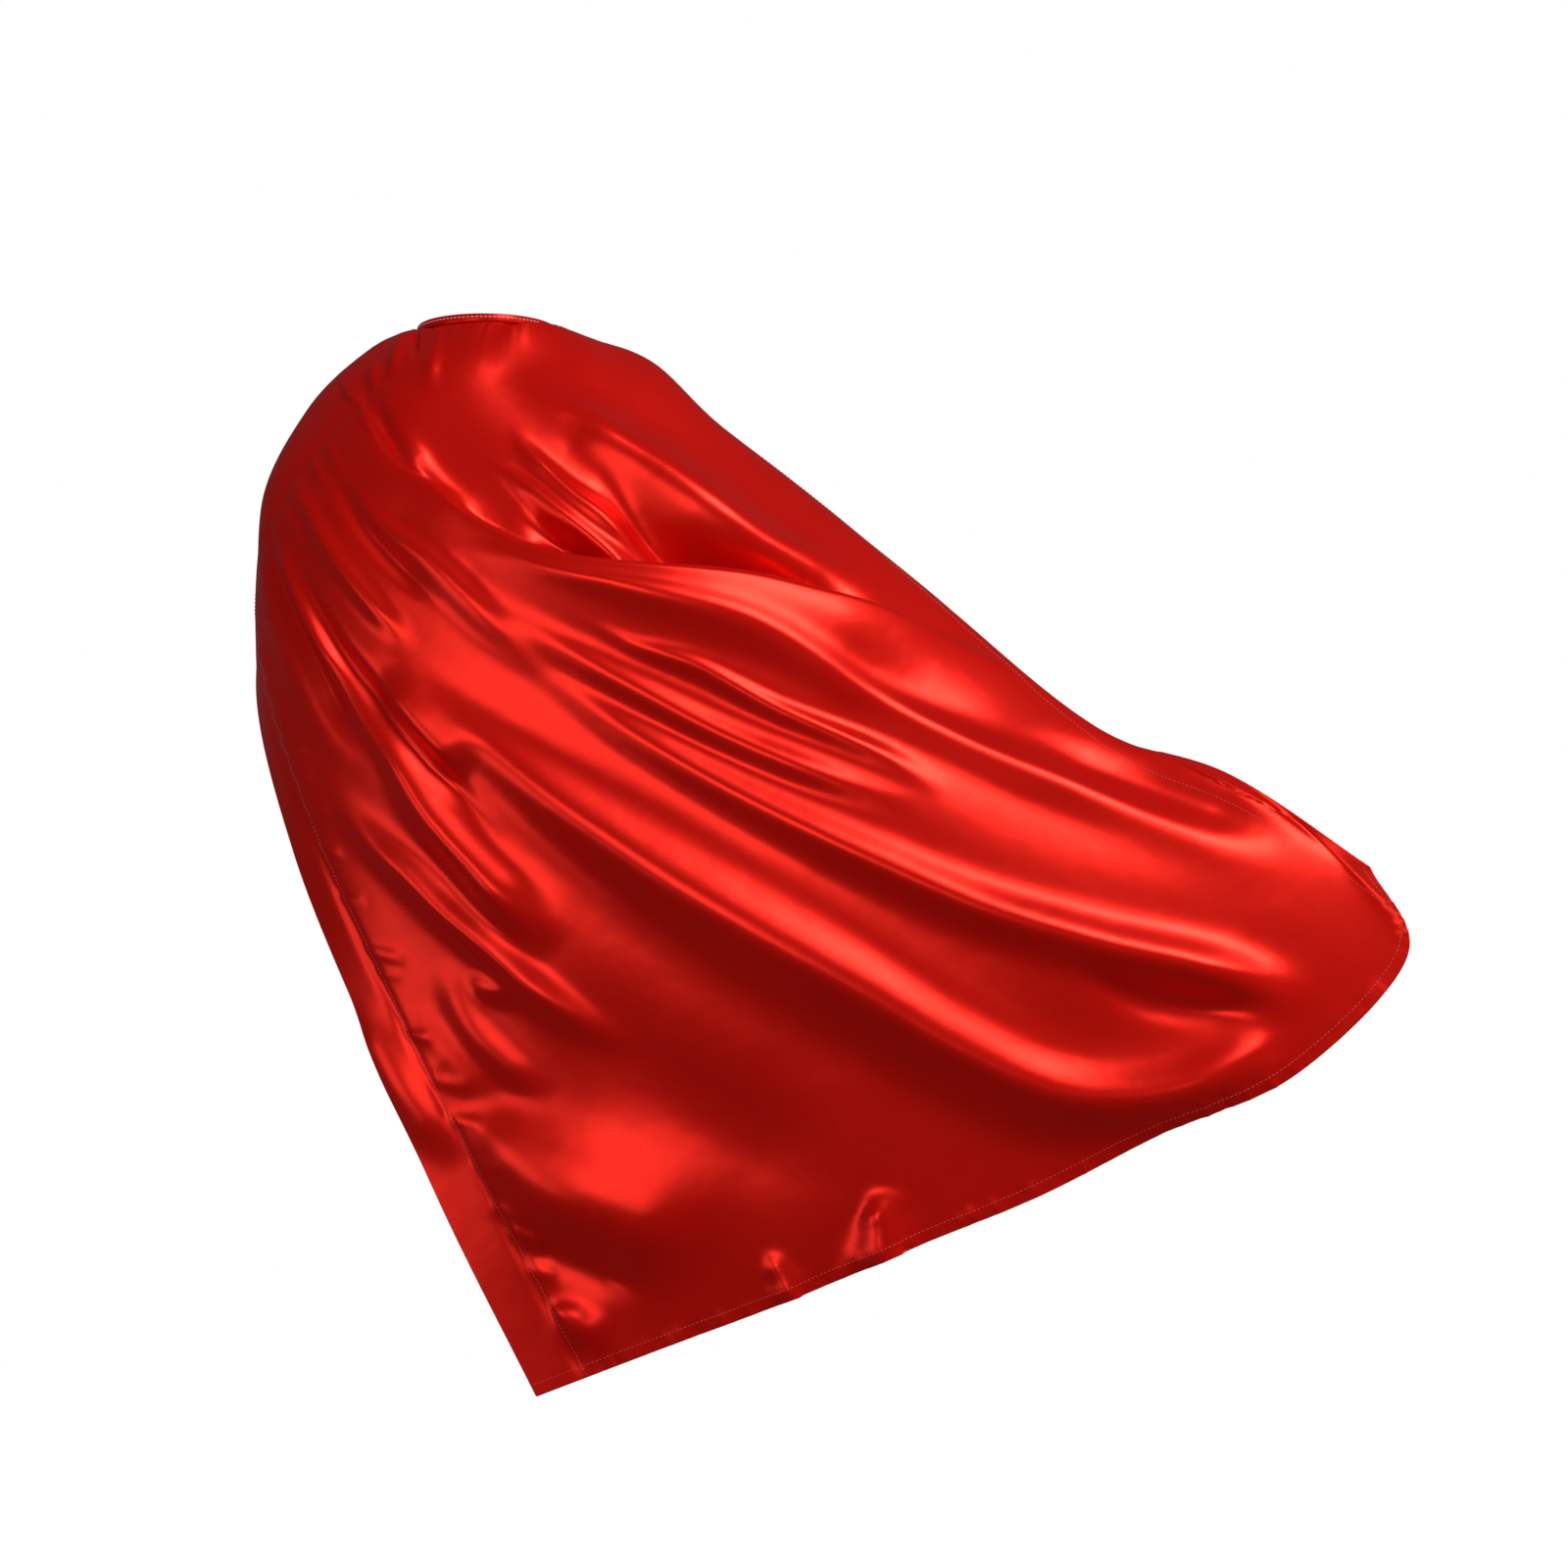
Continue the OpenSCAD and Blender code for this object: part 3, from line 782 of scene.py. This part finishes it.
def studio_light(name, turn, rise, power):
    """A soft box at an angle from straight behind, positive to the right of the picture."""
    a, e = math.radians(turn), math.radians(rise)
    way = np.array([-math.sin(a) * math.cos(e), math.cos(a) * math.cos(e), math.sin(e)])
    area_light(name, MIDDLE + LIGHT_AWAY * way, MIDDLE, SOFT_BOX, power)


make_camera()
make_floor()
make_world()
bpy.context.scene.view_settings.view_transform = "Standard"
studio_light("key", 33, 49, 66)
studio_light("left", -26, 4, 15)
studio_light("right", 75, 5, 36)
studio_light("low_left", -60, -10, 9)

FACE = satin_face()
BACK = satin_back()
THREAD = thread_material("sewing_thread", (0.5, 0.02, 0.015), (0.72, 0.08, 0.06))
TOP_THREAD = thread_material("topstitch_thread", (0.7, 0.25, 0.22), (0.9, 0.5, 0.45))
HOOKS = tape_material("hook_tape", (0.22, 0.004, 0.006), 1600, 0.0004)
LOOPS = tape_material("loop_tape", (0.30, 0.006, 0.008), 900, 0.0003)
INTERFACING = plain_weave("interfacing", (0.82, 0.82, 0.8), (0.7, 0.7, 0.68), 0.8)
LABEL = plain_weave("woven_label", (0.85, 0.85, 0.83), (0.76, 0.76, 0.74), 0.6)

# ---------------------------------------------------------------- the folded cloth
CLOTH_T = 0.0006
FOLD_GAP = 0.0009  # from the panel's outer face to the layer turned under it
FACING_W = 0.050
HEM_W = 0.010

# The layer that lies over the one above it
LAP = dict(course=CREST, width=(24, 60, 45), height=(13, 38, 22), lap=5, fade=(0.2, 0.3))
# The gathers at the neck band: how many waves round it, their start and their share
GATHER_WAVES = ((23, 1.3, 1.0), (37, 0.4, 0.8), (52, 2.2, 0.6))
GATHER_DEPTH = 0.0011
# Where the cloth's top edge runs up between the layers of the neck band
SEAM_ALLOWANCE_R = 0.0612
SEAM_ALLOWANCE_Z = (-0.0040, -0.0058)
# How finely the facings and the hem are meshed across
FACING_COLS = 18
HEM_ROWS = 6


def wrinkles(base):
    """Those drawn in by the left facing's seam and the hem's, and a groove along the first."""
    rng = random.Random(SEED)
    left_seam = seen(strip(base, [FACING_W])[0])
    hem_line = seen(hem_band(base, [HEM_W])[:, 0])
    groove = dict(course=left_seam[::8], width=(4, 4.5, 4.5), height=(-1, -1.6, -1.6),
                  fade=(0.1, 0.02))
    return (seam_puckers(left_seam, -52, 30, 0.27, 0.97, rng, 1.1)
            + seam_puckers(hem_line, 85, 40, 0.06, 0.95, rng, 0.7) + [groove])


def gathered(grid):
    """Small gathers where the cloth is drawn into the neck band, and its roll beside it, by u
    from the left to the right front edge and v from the band to the hem."""
    u = np.linspace(0, 1, STRIPS + 1)[:, None]
    v = np.linspace(0, 1, ROWS + 1)[None, :]
    waves = sum(share * np.sin(2 * math.pi * count * u + start)
                for count, start, share in GATHER_WAVES)
    sides = 0.25 + 0.75 * np.clip(np.cos(2 * math.pi * (u - 0.06)), 0, 1)
    depth = smoothstep(0, 0.012, v) * np.exp(-v / 0.045)
    rolls = (0.010 * smoothstep(0.53, 0.62, u) * smoothstep(0.93, 0.80, u)
             + 0.006 * smoothstep(0.14, 0.24, u) * smoothstep(0.42, 0.30, u))
    lift = rolls * smoothstep(0, 0.026, v) * np.exp(-((v - 0.02) / 0.075) ** 2)
    raised = grid + np.array([0, 0, 1.0]) * lift[..., None]
    return raised + normals_of(raised) * (GATHER_DEPTH * waves * sides * depth)[..., None]


def worn_surface():
    """The outer face of the cloth with all its folds, as a grid of points."""
    base = base_surface()
    grid = folded(folded(base, UPPER_FOLDS, 1), LOWER_FOLDS, -1)
    grid = folded(folded(grid, wrinkles(base)), [LAP], outward=normals_of(base))
    return gathered(grid)


def hang(obj, *nodes, slot="satin"):
    """A piece of the cape's cloth, baked in place; the CAD parts named are hidden."""
    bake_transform(obj)
    if nodes:
        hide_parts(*nodes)
    return obj


def underlay(name, grid, grid_normals, *nodes):
    """A turned-under layer of the cloth, just inside the panel."""
    obj = closed_sheet(name, grid - FOLD_GAP * grid_normals,
                       grid - (FOLD_GAP + CLOTH_T) * grid_normals, [FACE, BACK])
    return hang(obj, *nodes, slot="satin_inside")


def make_panel(surface):
    """The one large panel of the cape."""
    angles = BAND_END + (2 * math.pi - 2 * BAND_END) * np.linspace(0, 1, STRIPS + 1)
    allowance = np.array([[band_point(SEAM_ALLOWANCE_R, a, z) for z in SEAM_ALLOWANCE_Z]
                          for a in angles])
    outer = np.concatenate([allowance, surface], axis=1)
    inner = outer - CLOTH_T * normals_of(outer)
    return hang(closed_sheet("satin_panel", outer, inner, [FACE, BACK]),
                "upper_panel", "skirt_panel")


def make_facing(surface, side, from_right):
    """The wide turned facing of one front edge, with its folded edge and its stitches."""
    grid = strip(surface, np.linspace(0, FACING_W, FACING_COLS), from_right)
    grid_n = normals_of(grid)
    edge, seam = (-1, 0) if from_right else (0, -1)
    return [
        underlay(side + "_facing", grid, grid_n, side + "_facing_upper", side + "_facing_lower"),
        hang(edge_roll(side + "_front_fold", grid[edge], grid_n[edge], FACE)),
        hang(stitches(side + "_facing_stitches", grid[seam], grid_n[seam], THREAD),
             side + "_facing_stitch_upper", side + "_facing_stitch_lower", slot="thread"),
    ]


def make_hem(surface):
    """The narrow turned hem, with its folded edge and its stitches."""
    grid = hem_band(surface, np.linspace(0, HEM_W, HEM_ROWS))
    grid_n = normals_of(grid)
    return [
        underlay("bottom_hem_fold", grid, grid_n, "bottom_hem"),
        hang(edge_roll("hem_edge_fold", grid[:, -1], grid_n[:, -1], FACE)),
        hang(stitches("hem_stitches", grid[:, 0], grid_n[:, 0], THREAD), "hem_stitch",
             slot="thread"),
    ]


# ---------------------------------------------------------------- neck band and closure
BAND_OUT_R = NECK_R + 3 * LAYER
BAND_CLEAR = 0.0003
TAPE_T = 0.0008
TAPE_LOW, TAPE_HIGH = -0.0055, -0.0015
TAB_IN_R = BAND_OUT_R + 2 * TAPE_T + BAND_CLEAR
TAB_CLEAR = 0.00002
TAB_T = 0.0008
TAB_LOW, TAB_HIGH = -0.0065, -0.0005
TAB_MIDDLE = (TAB_HIGH + TAB_LOW) / 2
TAB_END = math.radians(-32)
TAB_ROUND = 0.0030
# The neck band's topstitching, which stops beside the tab on both sides of the throat
NECK_LINE_R = 0.06238
NECK_LINE_Z = -0.0032
NECK_THREAD_R = 0.00045
# The sections of the neck band's layers, in radius and height
OUTER_PROFILE = [(0.0615, -0.0074), (0.0621, -0.0074), (0.0623, -0.0060), (0.06235, -0.0040),
                 (0.0623, -0.0016), (0.0620, -0.0005), (0.0614, 0.0), (0.0608, -0.0002),
                 (0.0608, -0.0008), (0.0614, -0.0007), (0.0616, -0.0016), (0.0616, -0.0060)]
INNER_PROFILE = [(0.0600, -0.0070), (0.0600, -0.0040), (0.0600, -0.0008), (0.0602, -0.0003),
                 (0.0606, -0.0002), (0.0606, -0.0008), (0.0604, -0.0012), (0.0604, -0.0070)]
MIDDLE_PROFILE = [(0.06045, -0.0066), (0.06045, -0.0012), (0.06075, -0.0012), (0.06075, -0.0066)]
# The label inside the nape
LABEL_GAP = 0.0018
LABEL_T = 0.0003
LABEL_HALF = STRIPS // 36
LABEL_ROWS = 11


def degrees(first, last, count):
    """Evenly spaced angles in radians, given in degrees."""
    return np.radians(np.linspace(first, last, count))


def on_shoulders(obj, *nodes, slot="satin"):
    """A piece that stays with the shoulders."""
    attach(obj, "shoulders")
    if nodes:
        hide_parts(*nodes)
    return obj


def band_layer(name, profile, material, first=4.0, last=356.0, wobble=0.0):
    """A layer of the neck band: its section, swept round the neck."""
    rings = []
    for a in degrees(first, last, 181):
        soft = wobble * (math.sin(9 * a + 0.5) + 0.6 * math.sin(23 * a))
        rings.append([band_point(r + soft, a, z) for r, z in profile])
    return swept(name, rings, material)


def make_neck_band():
    """The neck band's outer, inner and stiffening layers."""
    return [
        on_shoulders(band_layer("neck_band_outer_cloth", OUTER_PROFILE, FACE, wobble=0.00008),
                     "neck_band_outer"),
        on_shoulders(band_layer("neck_band_inner_cloth", INNER_PROFILE, BACK), "neck_band_inner",
                     slot="satin_inside"),
        on_shoulders(band_layer("neck_band_stiffener", MIDDLE_PROFILE, INTERFACING, 5, 355),
                     "neck_band_interfacing", slot="interfacing"),
    ]


def make_neck_stitches():
    """The neck band's row of topstitching."""
    angles = degrees(17, 324, 400)
    line = np.array([band_point(NECK_LINE_R, a, NECK_LINE_Z) for a in angles])
    outward = np.array([band_point(1.0, a, 0.0) for a in angles])
    on_shoulders(stitches("neck_band_stitches", line, outward, TOP_THREAD, radius=NECK_THREAD_R),
                 "neck_stitch", slot="thread")


def tape(name, r_in, r_out, material):
    """A pad of tape bent round the band, between two radii."""
    angles = degrees(-27, -7, 16)

    def heights(a):
        return np.linspace(TAPE_LOW, TAPE_HIGH, 5)

    return closed_sheet(name, band_grid(angles, heights, lambda a: r_out),
                        band_grid(angles, heights, lambda a: r_in), [material])


def make_tapes():
    """The loop pad on the band and the hook pad under the free part of the tab."""
    on_shoulders(tape("loop_tape_pad", BAND_OUT_R + BAND_CLEAR, BAND_OUT_R + TAPE_T, LOOPS),
                 "loop_tape", slot="tape")
    hook_pad = tape("hook_tape_pad", TAB_IN_R - TAPE_T, TAB_IN_R - TAB_CLEAR, HOOKS)
    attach(hook_pad, "closure_tab")
    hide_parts("hook_tape")


def strap_radius(a):
    """The tab's inner face: sewn flat on the band, then raised over the tapes."""
    sewn = float(smoothstep(math.radians(5), math.radians(9), a))
    return TAB_IN_R + sewn * (BAND_OUT_R + BAND_CLEAR - TAB_IN_R)


def strap_heights(a, inset=0.0):
    """Heights across the tab, which narrows to a rounded end."""
    to_end = max((a - TAB_END) * TAB_IN_R - inset, 0.0)
    f = min(to_end / TAB_ROUND, 1.0)
    half = (TAB_HIGH - TAB_LOW) / 2 - inset
    h = half * math.sqrt(max(1 - (1 - f) ** 2, 0.01))
    return TAB_MIDDLE + h * np.linspace(-1, 1, 7)


def across_fold(obj):
    """Bakes a piece of the tab in place."""
    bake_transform(obj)
    return obj


def make_strap():
    """The closure tab, from its rounded end to its sewn base, meshed finer at both."""
    angles = np.concatenate([degrees(-32, -28, 12), degrees(-27.5, 3, 30), degrees(3.4, 15, 24)])
    strap = closed_sheet("closure_tab_strap",
                         band_grid(angles, strap_heights, lambda a: strap_radius(a) + TAB_T),
                         band_grid(angles, strap_heights, strap_radius), [FACE, BACK],
                         uv_size=(0.053, 0.006))
    across_fold(strap)
    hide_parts("closure_tab", "tab_base")
    return strap


def strap_rim():
    """A line round the tab, a little inside its edge, and its outward normals."""
    angles = degrees(-30.6, 14, 60)
    inset = 0.0010
    low = [band_point(strap_radius(a) + TAB_T, a, strap_heights(a, inset)[0]) for a in angles]
    high = [band_point(strap_radius(a) + TAB_T, a, strap_heights(a, inset)[-1]) for a in angles]
    line = np.array(high[::-1] + low)
    out = line - tilted((0, 0, TAB_MIDDLE))
    return line, out / np.linalg.norm(out, axis=1, keepdims=True)


def make_strap_stitches():
    """The row of stitches round the tab."""
    line, outward = strap_rim()
    threads = across_fold(stitches("closure_tab_stitches", line, outward, THREAD,
                                   pitch=0.0026, length=0.0019, radius=0.00022))
    return threads


def make_label(surface):
    """A blank label that hangs inside the nape, sewn under the band."""
    across = slice(STRIPS // 2 - LABEL_HALF, STRIPS // 2 + LABEL_HALF + 1)
    grid = surface[across, :LABEL_ROWS]
    grid_n = normals_of(surface)[across, :LABEL_ROWS]
    label = closed_sheet("blank_care_label", grid - LABEL_GAP * grid_n,
                         grid - (LABEL_GAP + LABEL_T) * grid_n, [LABEL])
    return on_shoulders(label, "care_label", slot="label")


# ---------------------------------------------------------------- the whole cape
surface = worn_surface()
panel = make_panel(surface)
with_panel = make_facing(surface, "left", False) + make_facing(surface, "right", True)
with_panel += make_hem(surface)
band_pieces = make_neck_band()
make_neck_stitches()
make_tapes()
strap = make_strap()
tab_threads = make_strap_stitches()
label = make_label(surface)
